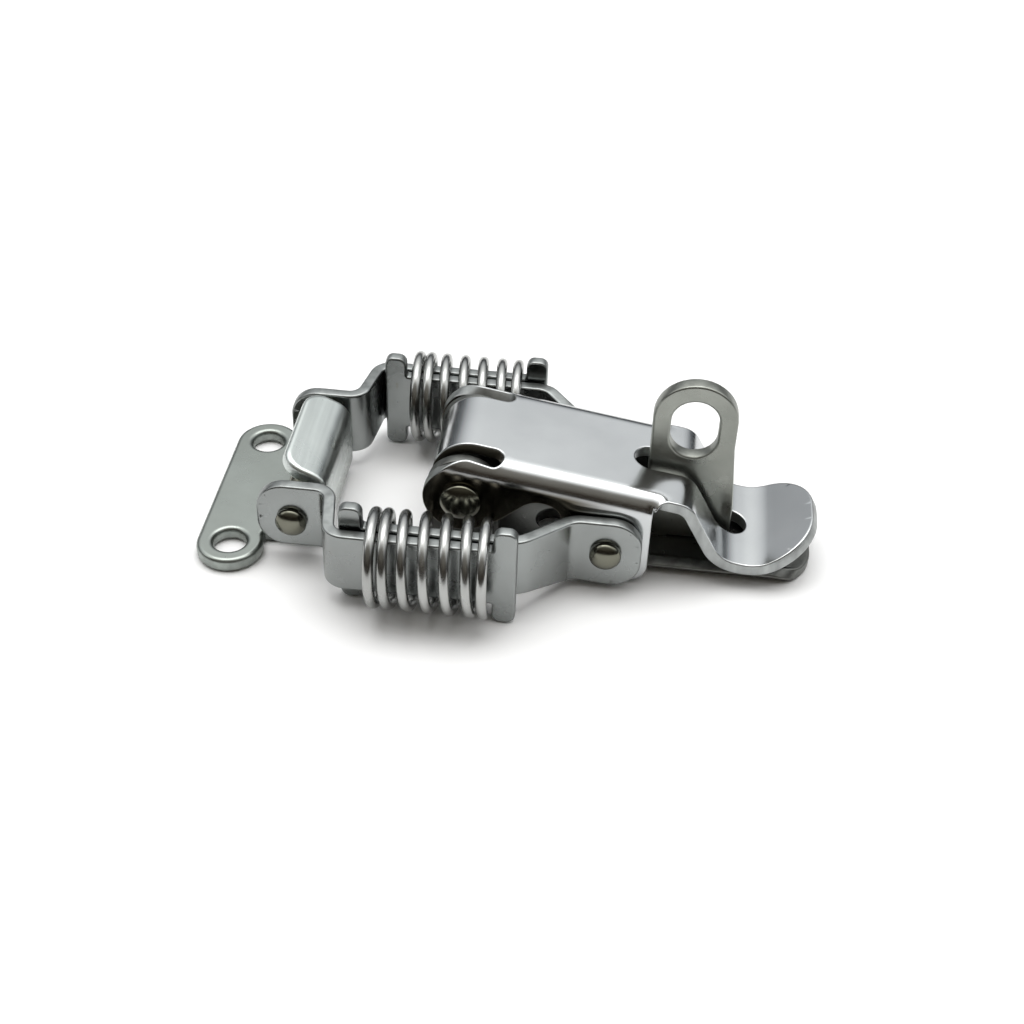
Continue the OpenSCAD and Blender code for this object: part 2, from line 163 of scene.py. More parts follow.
PATH_SPARE = 30.0
HALVINGS = 50


class Path:
    """Bent centreline of a sheet: straight runs joined by arcs, measured by its length."""

    def __init__(self, corners):
        points = [Vector(c[:2]) for c in corners]
        self.runs, self.length, here = [], 0.0, points[0]
        for i in range(1, len(points) - 1):
            radius = corners[i][2]
            centre, start, sweep, begin, end = corner_arc(points[i - 1], points[i], points[i + 1], radius)
            self.add_line(here, begin)
            self.add_arc(centre, radius, start, sweep)
            here = end
        self.add_line(here, points[-1])

    def add_line(self, a, b):
        size = (b - a).length
        if size > 1e-6:
            self.runs.append(("line", self.length, size, a, unit(b - a)))
            self.length += size

    def add_arc(self, centre, radius, start, sweep):
        self.runs.append(("arc", self.length, abs(sweep) * radius, centre, radius, start, sweep))
        self.length += abs(sweep) * radius

    def at(self, s):
        """Point and left-hand normal at length s; the end runs go on straight."""
        run = self.runs[0]
        for candidate in self.runs:
            if s >= candidate[1]:
                run = candidate
        if run[0] == "line":
            _, begin, _, origin, direction = run
            return origin + direction * (s - begin), Vector((-direction.y, direction.x))
        _, begin, size, centre, radius, start, sweep = run
        share = (s - begin) / size
        angle = start + sweep * share
        radial = Vector((math.cos(angle), math.sin(angle)))
        return centre + radial * radius, radial * (-1 if sweep > 0 else 1)

    def length_at_x(self, x):
        """Length at which the path reaches x; x grows or falls all along the path."""
        low, high = -PATH_SPARE, self.length + PATH_SPARE
        rising = self.at(self.length)[0].x > self.at(0)[0].x
        for _ in range(HALVINGS):
            middle = (low + high) / 2
            if (self.at(middle)[0].x < x) == rising:
                low = middle
            else:
                high = middle
        return (low + high) / 2

    def stops(self, straight_step, bend_step):
        """Lengths at which a bent sheet needs a row of vertices."""
        result = []
        for run in self.runs:
            step = straight_step if run[0] == "line" else bend_step
            count = max(1, round(run[2] / step))
            result += [run[1] + run[2] * i / count for i in range(count)]
        return result + [self.length]


# ---------------------------------------------------------------- sheet-metal meshes
EDGE_STEPS = 4
SUPPORT = 0.10
CLEARANCE = 0.28


def area(points):
    return sum(p.x * q.y - q.x * p.y for p, q in zip(points, points[1:] + points[:1])) / 2


def spread(points, step):
    """The closed outline with points no further apart than step."""
    result = []
    for p, q in zip(points, points[1:] + points[:1]):
        size = (q - p).length
        if size < 1e-5:
            continue
        count = max(1, math.ceil(size / step))
        result += [p.lerp(q, i / count) for i in range(count)]
    return result


def outward(points):
    """Mitred normals that point away from the material; the material is on the left of the outline."""
    result = []
    for i, p in enumerate(points):
        a, b = unit(p - points[i - 1]), unit(points[(i + 1) % len(points)] - p)
        m = Vector((a.y + b.y, -a.x - b.x))
        m = unit(m) if m.length > 1e-6 else Vector((a.y, -a.x))
        result.append(m / max(0.5, m.dot(Vector((a.y, -a.x)))))
    return result


def inside(point, loop):
    hit, x, y = False, point[0], point[1]
    for p, q in zip(loop, loop[1:] + loop[:1]):
        if (p.y > y) != (q.y > y) and x < (q.x - p.x) * (y - p.y) / (q.y - p.y) + p.x:
            hit = not hit
    return hit


def clear_of(point, loops, distance):
    limit = distance * distance
    return all((point[0] - p.x) ** 2 + (point[1] - p.y) ** 2 > limit for loop in loops for p in loop)


def new_piece(name, verts, faces):
    mesh = bpy.data.meshes.new(name)
    mesh.from_pydata([tuple(c * MM for c in v) for v in verts], [], faces)
    mesh.validate()
    mesh.polygons.foreach_set("use_smooth", [True] * len(mesh.polygons))
    piece = bpy.data.objects.new(name, mesh)
    bpy.context.scene.collection.objects.link(piece)
    return piece


def turn_faces_out(piece):
    made = bmesh.new()
    made.from_mesh(piece.data)
    bmesh.ops.recalc_face_normals(made, faces=made.faces)
    made.to_mesh(piece.data)
    made.free()


def sheet(name, loops, thick, bend, rows, row_gap=0.9, edge=0.25, step=0.4):
    """Closed sheet-metal piece: flat outlines with rounded edges, refined along rows and then bent.

    loops is the outer outline and then the holes; bend turns (s, v, height) into a point."""
    ready = []
    for i, loop in enumerate(loops):
        points = spread(loop, step)
        if (area(points) > 0) != (i == 0):
            points.reverse()
        ready.append(points)
    normals = [outward(points) for points in ready]
    inset = edge + SUPPORT
    borders = [[p - n * inset for p, n in zip(points, ns)] for points, ns in zip(ready, normals)]
    flat, segments, firsts = [], [], []
    for border in borders:
        first = len(flat)
        firsts.append(first)
        flat += [Vector(p) for p in border]
        count = len(border)
        segments += [(first + i, first + (i + 1) % count) for i in range(count)]
    low = min(p.y for p in ready[0])
    high = max(p.y for p in ready[0])
    left = min(p.x for p in ready[0])
    right = max(p.x for p in ready[0])
    for s in rows:
        if not left < s < right:
            continue
        count = int((high - low) / row_gap)
        for k in range(1, count):
            point = Vector((s, low + (high - low) * k / count))
            clear = clear_of(point, borders, CLEARANCE)
            if clear and inside(point, borders[0]) and not any(inside(point, b) for b in borders[1:]):
                flat.append(point)
    points, _, triangles, origins, _, _ = delaunay_2d_cdt(flat, segments, [], 0, 1e-5)
    home = {}
    for i, sources in enumerate(origins):
        for source in sources:
            home[source] = i
    kept = []
    for triangle in triangles:
        middle = sum((points[i] for i in triangle), Vector((0, 0))) / len(triangle)
        if inside(middle, borders[0]) and not any(inside(middle, b) for b in borders[1:]):
            kept.append(triangle)
    verts, faces, share = [], [], []

    def put(x, y, h, on_edge):
        verts.append(bend(x, y, h))
        share.append(on_edge)
        return len(verts) - 1

    top = [put(p.x, p.y, thick / 2, 0.0) for p in points]
    bottom = [put(p.x, p.y, -thick / 2, 0.0) for p in points]
    faces += [[top[i] for i in t] for t in kept]
    faces += [[bottom[i] for i in reversed(t)] for t in kept]
    profile = [(edge * (1 - math.sin(a)), thick / 2 - edge * (1 - math.cos(a)), a / (math.pi / 2))
               for a in (math.pi / 2 * k / EDGE_STEPS for k in range(EDGE_STEPS + 1))]
    profile += [(d, -h, e) for d, h, e in reversed(profile)]
    for points_here, ns, first in zip(ready, normals, firsts):
        count = len(points_here)
        rings = [[top[home[first + i]] for i in range(count)]]
        for distance, height, on_edge in profile:
            rings.append([put(*(p - n * distance), height, on_edge) for p, n in zip(points_here, ns)])
        rings.append([bottom[home[first + i]] for i in range(count)])
        for upper, lower in zip(rings, rings[1:]):
            for i in range(count):
                j = (i + 1) % count
                faces.append([upper[i], lower[i], lower[j], upper[j]])
    piece = new_piece(name, verts, faces)
    cut = piece.data.attributes.new("cut_edge", "FLOAT", "POINT")
    cut.data.foreach_set("value", share)
    turn_faces_out(piece)
    return piece


LATHE_SIDES = 72


def lathe(name, profile, centre, toward):
    """Closed solid of revolution about Y: profile is (radius, distance), from axis to axis."""
    verts, faces = [], []
    x, y, z = centre
    rings = []
    for radius, distance in profile:
        if radius < 1e-6:
            verts.append((x, y + toward * distance, z))
            rings.append([len(verts) - 1])
            continue
        ring = []
        for k in range(LATHE_SIDES):
            a = 2 * math.pi * k / LATHE_SIDES
            verts.append((x + radius * math.cos(a), y + toward * distance, z + radius * math.sin(a)))
            ring.append(len(verts) - 1)
        rings.append(ring)
    for a, b in zip(rings, rings[1:]):
        for k in range(LATHE_SIDES):
            n = (k + 1) % LATHE_SIDES
            if len(a) == 1:
                faces.append([a[0], b[k], b[n]])
            elif len(b) == 1:
                faces.append([a[k], b[0], a[n]])
            else:
                faces.append([a[k], b[k], b[n], a[n]])
    piece = new_piece(name, verts, faces)
    turn_faces_out(piece)
    return piece


# ---------------------------------------------------------------- materials
def node_tree(name):
    material = bpy.data.materials.new(name)
    material.use_nodes = True
    nodes, links = material.node_tree.nodes, material.node_tree.links
    return material, nodes, links, nodes["Principled BSDF"]


def add(nodes, kind, **values):
    node = nodes.new(kind)
    for key, value in values.items():
        if key in node.inputs:
            node.inputs[key].default_value = value
        else:
            setattr(node, key, value)
    return node


def ramp_node(nodes, stops):
    node = nodes.new("ShaderNodeValToRGB")
    ramp = node.color_ramp
    ramp.elements[0].position, ramp.elements[0].color = stops[0][0], (*stops[0][1], 1)
    ramp.elements[1].position, ramp.elements[1].color = stops[-1][0], (*stops[-1][1], 1)
    for place, colour in stops[1:-1]:
        ramp.elements.new(place).color = (*colour, 1)
    return node


def mix_value(nodes, links, factor, a, b):
    """Float mix: a and b are numbers or sockets, factor is a socket."""
    node = nodes.new("ShaderNodeMix")
    node.data_type = "FLOAT"
    links.new(factor, node.inputs[0])
    for place, value in ((2, a), (3, b)):
        if isinstance(value, (int, float)):
            node.inputs[place].default_value = value
        else:
            links.new(value, node.inputs[place])
    return node.outputs[0]


def mix_colour(nodes, links, factor, a, b):
    """Colour mix: a and b are colours or sockets, factor is a socket."""
    node = nodes.new("ShaderNodeMix")
    node.data_type = "RGBA"
    links.new(factor, node.inputs[0])
    for place, value in ((6, a), (7, b)):
        if isinstance(value, tuple):
            node.inputs[place].default_value = (*value, 1)
        else:
            links.new(value, node.inputs[place])
    return node.outputs[2]


def map_range(nodes, links, source, start, end, at_start=0.0, at_end=1.0, smooth=False):
    node = add(nodes, "ShaderNodeMapRange")
    if smooth:
        node.interpolation_type = "SMOOTHSTEP"
    links.new(source, node.inputs[0])
    for place, value in enumerate((start, end, at_start, at_end), start=1):
        node.inputs[place].default_value = value
    return node.outputs[0]


def scaled_noise(nodes, links, coords, scale, detail, seed, stretch=(1, 1, 1)):
    mapping = add(nodes, "ShaderNodeMapping")
    mapping.inputs["Scale"].default_value = stretch
    mapping.inputs["Location"].default_value = (seed, seed * 0.7, seed * 1.3)
    links.new(coords, mapping.inputs["Vector"])
    noise = add(nodes, "ShaderNodeTexNoise", Scale=scale, Detail=detail)
    links.new(mapping.outputs[0], noise.inputs["Vector"])
    return noise.outputs["Fac"]


def shaded(colour, factor):
    return tuple(c * factor for c in colour)


# heights in metres between which a piece counts as raised from its plate
RAISED_FROM, RAISED_TO = 0.003, 0.006
# centre, and inner and outer radius, of the painted shade round the lever pivot, in metres
SHADE_CENTRE = (0.003, 0, 0.008)
SHADE_FULL, SHADE_NONE = 0.011, 0.019
# upward parts of a normal between which the painted shade fades out
STEEP, SHALLOW = 0.15, 0.45


def raised_part(nodes, links, coords):
    """Factor that is 1 on the parts that stand up from the plate and 0 on the plate itself."""
    split = add(nodes, "ShaderNodeSeparateXYZ")
    links.new(coords, split.inputs[0])
    return map_range(nodes, links, split.outputs["Z"], RAISED_FROM, RAISED_TO)


def painted_shade_part(nodes, links, coords):
    """Painted-shade mask: 1 on side faces close to the lever pivot and 0 on upper faces and far from it."""
    flat = add(nodes, "ShaderNodeVectorMath", operation="MULTIPLY")
    links.new(coords, flat.inputs[0])
    flat.inputs[1].default_value = (1, 0, 1)
    away = add(nodes, "ShaderNodeVectorMath", operation="DISTANCE")
    links.new(flat.outputs["Vector"], away.inputs[0])
    away.inputs[1].default_value = SHADE_CENTRE
    near = map_range(nodes, links, away.outputs["Value"], SHADE_FULL, SHADE_NONE, 1.0, 0.0, smooth=True)
    split = add(nodes, "ShaderNodeSeparateXYZ")
    links.new(add(nodes, "ShaderNodeNewGeometry").outputs["Normal"], split.inputs[0])
    steep = map_range(nodes, links, split.outputs["Z"], STEEP, SHALLOW, 1.0, 0.0)
    both = add(nodes, "ShaderNodeMath", operation="MULTIPLY")
    links.new(near, both.inputs[0])
    links.new(steep, both.inputs[1])
    return both.outputs[0]


# noise scales, per metre
CLOUD_SCALE = 95.0
SMUDGE_SCALE = 260.0
SPOT_SCALE = 420.0
STROKE_SCALE = 700.0
LINE_SCALE = 900.0
BUMP_HEIGHT = 0.00004
STAIN_BROWN = (0.16, 0.11, 0.06)


def metal(name, bright, dull, rough, rough_worn, bump, grain=900.0, cut_rough=0.4, stain=0.0, seed=0.0,
          cut=None, burnish=None, side_shade=None):
    """Plated steel: cloudy tone, fine surface grain, small stains and rougher sheared edges, and, if asked
    for, painted shade darkening side faces near the lever pivot.
    """
    material, nodes, links, shader = node_tree(name)
    coords = add(nodes, "ShaderNodeTexCoord").outputs["Object"]
    clouds = scaled_noise(nodes, links, coords, CLOUD_SCALE, 4.0, seed)
    wear_and_shade_noise = scaled_noise(nodes, links, coords, SMUDGE_SCALE, 6.0, seed + 3)
    fine = scaled_noise(nodes, links, coords, grain, 5.0, seed + 5)
    tone = ramp_node(nodes, [(0.32, dull), (0.62, bright)])
    links.new(clouds, tone.inputs[0])
    edge = add(nodes, "ShaderNodeAttribute", attribute_name="cut_edge").outputs["Fac"]
    strokes = scaled_noise(nodes, links, coords, STROKE_SCALE, 4.0, seed + 9, (1.0, 1.0, 0.35))
    cut = cut or bright
    edge_tone = ramp_node(nodes, [(0.3, shaded(cut, 0.72)), (0.7, shaded(cut, 1.15))])
    links.new(strokes, edge_tone.inputs[0])
    colour = mix_colour(nodes, links, edge, tone.outputs[0], edge_tone.outputs[0])
    if stain:
        spots = ramp_node(nodes, [(0.70, (0, 0, 0)), (0.78, (1, 1, 1))])
        links.new(scaled_noise(nodes, links, coords, SPOT_SCALE, 5.0, seed + 17), spots.inputs[0])
        weak = add(nodes, "ShaderNodeMath", operation="MULTIPLY")
        links.new(spots.outputs[0], weak.inputs[0])
        weak.inputs[1].default_value = stain
        colour = mix_colour(nodes, links, weak.outputs[0], colour, STAIN_BROWN)
    if burnish:
        lines = ramp_node(nodes, [(0.35, shaded(burnish, 0.86)), (0.65, shaded(burnish, 1.06))])
        along_y = scaled_noise(nodes, links, coords, LINE_SCALE, 3.0, seed + 23, (1.0, 0.03, 1.0))
        links.new(along_y, lines.inputs[0])
        colour = mix_colour(nodes, links, raised_part(nodes, links, coords), colour, lines.outputs[0])
    # painted shade: side faces near the lever pivot are darkened to stand in for the shade and dark
    # reflections behind the springs and arms
    if side_shade:
        shade_tone = ramp_node(nodes, [(0.3, shaded(side_shade, 0.7)), (0.7, side_shade)])
        links.new(wear_and_shade_noise, shade_tone.inputs[0])
        colour = mix_colour(nodes, links, painted_shade_part(nodes, links, coords), colour, shade_tone.outputs[0])
    links.new(colour, shader.inputs["Base Color"])
    worn = ramp_node(nodes, [(0.35, (rough,) * 3), (0.75, (rough_worn,) * 3)])
    links.new(wear_and_shade_noise, worn.inputs[0])
    links.new(mix_value(nodes, links, edge, worn.outputs[0], cut_rough), shader.inputs["Roughness"])
    shader.inputs["Metallic"].default_value = 1.0
    bumped = add(nodes, "ShaderNodeBump", Strength=bump, Distance=BUMP_HEIGHT)
    links.new(mix_value(nodes, links, edge, fine, strokes), bumped.inputs["Height"])
    links.new(bumped.outputs[0], shader.inputs["Normal"])
    return material


SATIN = metal("satin_nickel", (0.285, 0.30, 0.295), (0.235, 0.245, 0.24), 0.20, 0.32, 0.22,
              stain=0.6, seed=1)
# painted shade: the base plate gets a much darker nickel than the other parts, standing in for the shade it
# lies in under the lever
PAINTED_SHADE_NICKEL = metal("painted_shade_nickel", (0.12, 0.122, 0.115), (0.085, 0.086, 0.08), 0.26, 0.38, 0.22,
              seed=2, cut=(0.17, 0.175, 0.165))
# the lever's flanges near the pivot get painted shade, a darker tone standing in for the shade there
POLISHED = metal("polished_nickel", (0.55, 0.565, 0.57), (0.50, 0.515, 0.52), 0.15, 0.23, 0.06,
                 grain=1500.0, seed=4, cut=(0.36, 0.375, 0.37), cut_rough=0.42, side_shade=(0.10, 0.09, 0.07))
TUMBLED = metal("tumbled_nickel", (0.30, 0.325, 0.305), (0.255, 0.275, 0.255), 0.26, 0.36, 0.25,
                stain=0.4, seed=7, burnish=(0.60, 0.64, 0.62))
SCUFFED = metal("scuffed_nickel", (0.28, 0.29, 0.265), (0.20, 0.21, 0.19), 0.24, 0.40, 0.35,
                stain=0.35, seed=11)
RIVET = metal("rivet_steel", (0.19, 0.19, 0.155), (0.13, 0.128, 0.10), 0.16, 0.28, 0.25, seed=15)
SPRING_WIRE = metal("spring_wire", (0.42, 0.425, 0.415), (0.33, 0.335, 0.325), 0.20, 0.30, 0.14, seed=19)


def finish_piece(piece, node, body, material):
    piece.data.materials.clear()
    piece.data.materials.append(material)
    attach(piece, body)
    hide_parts(node)


SIDES = (("near", -1), ("far", 1))


# ---------------------------------------------------------------- base
BASE_HALF = 6.9
BASE_CORNER = 5.5
BASE_BEND = 0.9
NECK_ROUND = 0.7
NECK_RUN = 1.5
BASE_HOLES = (11.2, 40.2)
STAPLE_X = 28.2
TENON_OFF = 3.3
TENON_HALF = 1.5
TENON_FIT = 0.02


def make_base():
    ear_r = BASE_HIGH.z - PIVOT.z
    out_y = BASE_HIGH.y
    mid_r = BASE_BEND + BASE_SHEET / 2
    flat_y = out_y - BASE_BEND - BASE_SHEET
    fold = math.pi / 2 * mid_r
    rise = mid_r + BASE_SHEET / 2
    right = BASE_HIGH.x
    neck_x = ear_r + NECK_RUN

    def ear_v(z):
        return flat_y + fold + z - rise

    top = ear_v(PIVOT.z)
    start = ear_v(rise)
    ear_near = [Vector((-ear_r, -start)), Vector((-ear_r, -top))]
    ear_near += arc_points((0, -top), ear_r, math.pi, math.pi, 40)[1:]
    ear_near += [Vector((ear_r, -start))]
    plate = outline([(ear_r, -flat_y - 1, 0), (neck_x, -BASE_HALF, NECK_ROUND),
                     (right, -BASE_HALF, BASE_CORNER), (right, BASE_HALF, BASE_CORNER),
                     (neck_x, BASE_HALF, NECK_ROUND), (ear_r, flat_y + 1, 0)])
    loops = [ear_near + plate + mirrored(ear_near)]
    loops += [screw_hole(x, 0) for x in BASE_HOLES]
    half_x, half_y, corner = TENON_HALF + TENON_FIT, STAPLE_THICK / 2 + TENON_FIT, 0.15
    for x in (STAPLE_X - TENON_OFF, STAPLE_X + TENON_OFF):
        loops.append(outline([(x - half_x, -half_y, corner), (x + half_x, -half_y, corner),
                              (x + half_x, half_y, corner), (x - half_x, half_y, corner)]))

    def bend(s, v, h):
        side_sign = 1 if v > 0 else -1
        w = abs(v)
        if w <= flat_y:
            return s, v, BASE_SHEET / 2 + h
        turn = min((w - flat_y) / mid_r, math.pi / 2)
        y = flat_y + (mid_r - h) * math.sin(turn)
        z = BASE_SHEET / 2 + mid_r - (mid_r - h) * math.cos(turn)
        return s, side_sign * y, z + max(0.0, w - flat_y - fold)

    rows = [BASE_LOW.x + 0.35 + k * 0.7 for k in range(80)]
    piece = sheet("base_plate", loops, BASE_SHEET, bend, rows, row_gap=0.35, edge=0.28)
    # the base plate takes the dark painted-shade nickel
    finish_piece(piece, "base", "base", PAINTED_SHADE_NICKEL)


# ---------------------------------------------------------------- padlock staple
STAPLE_WIDTH = 10.6
RING_WALL = 2.4
SHACKLE_R = 3.0
SHACKLE_EXTRA = 2.4
FOOT_GAP = 0.05
FOOT_HEIGHT = 6.0
TENON_END = 0.08


def make_staple():
    left, right = STAPLE_LOW.x, STAPLE_HIGH.x
    middle = left + STAPLE_WIDTH / 2
    ring_r = STAPLE_WIDTH / 2
    ring_z = STAPLE_HIGH.z - ring_r
    foot = BASE_SHEET + FOOT_GAP
    outer = [Vector((left, foot))]
    for offset in (-TENON_OFF, TENON_OFF):
        begin, end = middle + offset - TENON_HALF, middle + offset + TENON_HALF
        corners = ((begin, foot), (begin, TENON_END), (end, TENON_END), (end, foot))
        outer += [Vector(corner) for corner in corners]
    rise = ((right, foot), (right, foot + FOOT_HEIGHT), (left + STAPLE_WIDTH, ring_z - 4))
    outer += [Vector(corner) for corner in rise]
    outer += arc_points((middle, ring_z), ring_r, 0, math.pi, 60)
    hole_top = STAPLE_HIGH.z - RING_WALL - SHACKLE_R
    hole = arc_points((middle, hole_top), SHACKLE_R, 0, math.pi, 40)
    hole += arc_points((middle, hole_top - SHACKLE_EXTRA), SHACKLE_R, math.pi, math.pi, 40)

    def bend(s, v, h):
        return s, -h, v

    rows = [left + 0.5 * k for k in range(1, 24)]
    piece = sheet("padlock_staple", [outer, hole], STAPLE_THICK, bend, rows, edge=0.32)
    finish_piece(piece, "staple", "base", SCUFFED)


# ---------------------------------------------------------------- lever
LEVER_RISE = 6.0
LEVER_SLOPE = math.radians(9)
CURL_X = 0.6
CURL_R = 5.0
CURL_ANGLE = math.radians(115)
LEVER_BEND = 2.8
LEVER_EAR_R = 4.9
TONGUE_HALF = 5.2
RELIEF_END = 4.1
TAB_HALF = 8.2
TAB_REACH = 45.3
TAB_RISE = 0.8
TAB_CORNER = 7.0
TAB_RUNOUT = 1.6
KNEE_X = 27.7
VALLEY_LEFT = 33.4
VALLEY_RIGHT = 38.6
VALLEY_Z = -2.15
FLANGE_END = 24.0
FLANGE_TOP_Z = 11.5
FLANGE_FOOT = 0.25
SLOT_HALF = 2.2
SLOT_LEFT = 21.0
SLOT_RIGHT = 36.4
# the centreline runs on past the tab's tip, and the sheet stops short of its end by TIP_ROOM
TIP_RUN = 0.6
TIP_ROOM = 0.37


def make_lever():
    mid_rise = LEVER_RISE - LEVER_SHEET / 2
    tab_x = TAB_REACH * math.cos(LEVER_SLOPE) + TIP_RUN
    tab_z = VALLEY_Z + (tab_x - VALLEY_RIGHT) * TAB_RISE
    line = Path([(CURL_X, mid_rise, 0), (KNEE_X, mid_rise, 2.4), (VALLEY_LEFT, VALLEY_Z, 5),
                 (VALLEY_RIGHT, VALLEY_Z, 6), (tab_x, tab_z, 0)])
    curl_r = CURL_R - LEVER_SHEET / 2
    curl_z = LEVER_RISE - CURL_R
    cos_a, sin_a = math.cos(LEVER_SLOPE), math.sin(LEVER_SLOPE)
    fold_r = LEVER_BEND - LEVER_SHEET / 2
    flat_y = LEVER_Y - LEVER_BEND
    fold = math.pi / 2 * fold_r

    def along(s):
        """Point and normal of the middle surface at s, where s = 0 is above the pivot."""
        if s >= CURL_X:
            return line.at(s - CURL_X)
        turn = (CURL_X - s) / curl_r
        radial = Vector((-math.sin(turn), math.cos(turn)))
        return Vector((CURL_X, curl_z)) + radial * curl_r, radial

    def to_world(p, y):
        return PIVOT.x + p.x * cos_a + p.y * sin_a, y, PIVOT.z - p.x * sin_a + p.y * cos_a

    def bend(s, v, h):
        w, sign = abs(v), 1 if v > 0 else -1
        if w <= TONGUE_HALF + 0.6 and s < RELIEF_END - 0.5:
            point, normal = along(s)
            return to_world(point + normal * h, v)
        if s >= CURL_X:
            point, normal = line.at(s - CURL_X)
        else:
            point, normal = Vector((s, mid_rise)), Vector((0, 1))
        if w <= flat_y:
            return to_world(point + normal * h, v)
        turn = min((w - flat_y) / fold_r, math.pi / 2)
        y = flat_y + (fold_r + h) * math.sin(turn)
        drop = fold_r - (fold_r + h) * math.cos(turn) + max(0.0, w - flat_y - fold)
        share = max(0.0, min(1.0, (s - flange_s) / TAB_RUNOUT))
        share = share * share * (3 - 2 * share) * max(0.0, min(1.0, TAB_HALF + 1.5 - w))
        y, drop = y + (w - y) * share, drop + (-h - drop) * share
        return to_world(point - normal * drop, sign * y)

    def local(x, z):
        """Flat-sheet place of a flange point given in the closed latch's X and Z."""
        dx, dz = x - PIVOT.x, z - PIVOT.z
        lx, lz = dx * cos_a - dz * sin_a, dx * sin_a + dz * cos_a
        drop = mid_rise - lz
        if drop >= fold_r:
            return lx, flat_y + fold + drop - fold_r
        return lx, flat_y + fold_r * math.acos(max(-1.0, 1 - max(0.0, drop) / fold_r))

    flange_s = local(FLANGE_END, FLANGE_TOP_Z)[0]
    slot_out = flat_y + fold_r * math.asin((LEVER_IN_Y + RUN_FIT - flat_y) / fold_r)
    slot_r = (slot_out - TONGUE_HALF) / 2
    curl_length = curl_r * CURL_ANGLE
    relief_s = RELIEF_END - slot_r
    # half outline, from the tongue's free end round the relief slot, ear and flange to the tab
    half = outline([(CURL_X - curl_length, -1, 0), (CURL_X - curl_length, TONGUE_HALF, 1.0),
                    (relief_s, TONGUE_HALF, 0), (0, -1, 0)])[1:-1]
    half += arc_points((relief_s, TONGUE_HALF + slot_r), slot_r, -math.pi / 2, math.pi, 20)
    for degrees in range(81, 316, 5):
        a = math.radians(degrees)
        half.append(Vector(local(PIVOT.x + LEVER_EAR_R * math.cos(a), PIVOT.z + LEVER_EAR_R * math.sin(a))))
    lower = outline([(3.5, PIVOT.z - 3.3, 0), (4.5, PIVOT.z - 3.2, 2), (9.2, 12.0, 3), (12.2, 10.8, 2),
                     (14.2, 4.2, 3), (19.2, FLANGE_FOOT, 2), (FLANGE_END, FLANGE_FOOT, 2.6),
                     (FLANGE_END, FLANGE_TOP_Z, 0)])[1:]
    half += [Vector(local(p.x, p.y)) for p in lower]
    tab_length = CURL_X + line.length - TIP_ROOM
    half += outline([(flange_s, TAB_HALF + 3, 0), (flange_s + 0.5, TAB_HALF, 0.6),
                     (tab_length, TAB_HALF, TAB_CORNER), (tab_length, -1, 0)])[1:-1]
    outer = half + mirrored(half)

    def length_at_world_x(x):
        low, high = 0.0, tab_length
        for _ in range(HALVINGS):
            middle = (low + high) / 2
            if to_world(along(middle)[0], 0)[0] < x:
                low = middle
            else:
                high = middle
        return low

    slot = arc_points((length_at_world_x(SLOT_RIGHT - SLOT_HALF), 0), SLOT_HALF, -math.pi / 2, math.pi, 30)
    slot += arc_points((length_at_world_x(SLOT_LEFT + SLOT_HALF), 0), SLOT_HALF, math.pi / 2, math.pi, 30)
    rows = [CURL_X - curl_length + 0.35 * k for k in range(int(curl_length / 0.35))]
    rows += [CURL_X + s for s in line.stops(0.8, 0.3)]
    piece = sheet("lever_sheet", [outer, slot], LEVER_SHEET, bend, rows, row_gap=0.28, edge=0.22, step=0.3)
    finish_piece(piece, "lever", "lever", POLISHED)


# ---------------------------------------------------------------- bail arms
EAR_HALF = 4.7
EAR_DROP = 0.9
EAR_CORNER = 3.8
PLATE_HALF = 4.26
PLATE_LOW, PLATE_HIGH = SPRING_Z - PLATE_HALF, SPRING_Z + PLATE_HALF
SEAT_DEPTH = 2.9
SEAT_CORNER = 1.1
SEAT_FILLET = 0.3
JOG_RIGHT = 14.2
JOG_LEFT = 8.4
JOG_BEND = 3.0
JOG_ROUND = 3.0


def plate_from(name, line, corners, sign):
    """Arm plate: corners are (x, z, radius), and line is the plate's bent centreline seen from above."""
    flat = outline([(line.length_at_x(x), z, r) for x, z, r in corners])

    def bend(s, v, h):
        point, normal = line.at(s)
        return point.x + normal.x * h, (point.y + normal.y * h) * sign, v

    return sheet(name, [flat], ARM_SHEET, bend, line.stops(1.0, 0.25), edge=0.3)


def make_lever_arm(side, sign):
    left, right = LEVER_ARM_LOW.x, LEVER_ARM_HIGH.x
    line = Path([(LINK.x + 8, ARM_MID_Y, 0), (JOG_RIGHT, ARM_MID_Y, JOG_BEND), (JOG_LEFT, INNER_Y, JOG_BEND),
                 (left, INNER_Y, 0)])
    seat = left + SEAT_DEPTH
    ear_low, ear_high = LINK.z - EAR_HALF, LINK.z + EAR_HALF
    corners = [(left, SEAT_LOW_Z, SEAT_CORNER), (seat, SEAT_LOW_Z, SEAT_CORNER),
               (seat, PLATE_LOW, SEAT_FILLET), (JOG_LEFT + 0.2, PLATE_LOW, JOG_ROUND),
               (JOG_RIGHT - 0.8, ear_low, JOG_ROUND), (right, ear_low - EAR_DROP, EAR_CORNER),
               (right, ear_high, EAR_CORNER), (JOG_RIGHT - 0.2, ear_high, JOG_ROUND),
               (JOG_LEFT + 0.6, PLATE_HIGH, JOG_ROUND), (seat, PLATE_HIGH, SEAT_FILLET),
               (seat, SEAT_HIGH_Z, SEAT_CORNER), (left, SEAT_HIGH_Z, SEAT_CORNER)]
    piece = plate_from("lever_arm_plate_" + side, line, corners, sign)
    finish_piece(piece, "lever_arm_" + side, "lever_arms", SATIN)


CRANK_RUN = 1.3
CRANK_BEND = 2.2
HOOK_EAR_LOW = STRIKE_SHEET + 0.35
HOOK_EAR_HIGH = 11.8
HOOK_EAR_ROUND = 3.4


def crank_top():
    """X of the crank's upper corner, which curves round the end of the lever arm's spring seat."""
    turn = math.atan2(OUTER_Y - ARM_MID_Y, CRANK_RUN)
    return LEVER_ARM_LOW.x + 0.8 - CRANK_BEND * math.tan(turn / 2)


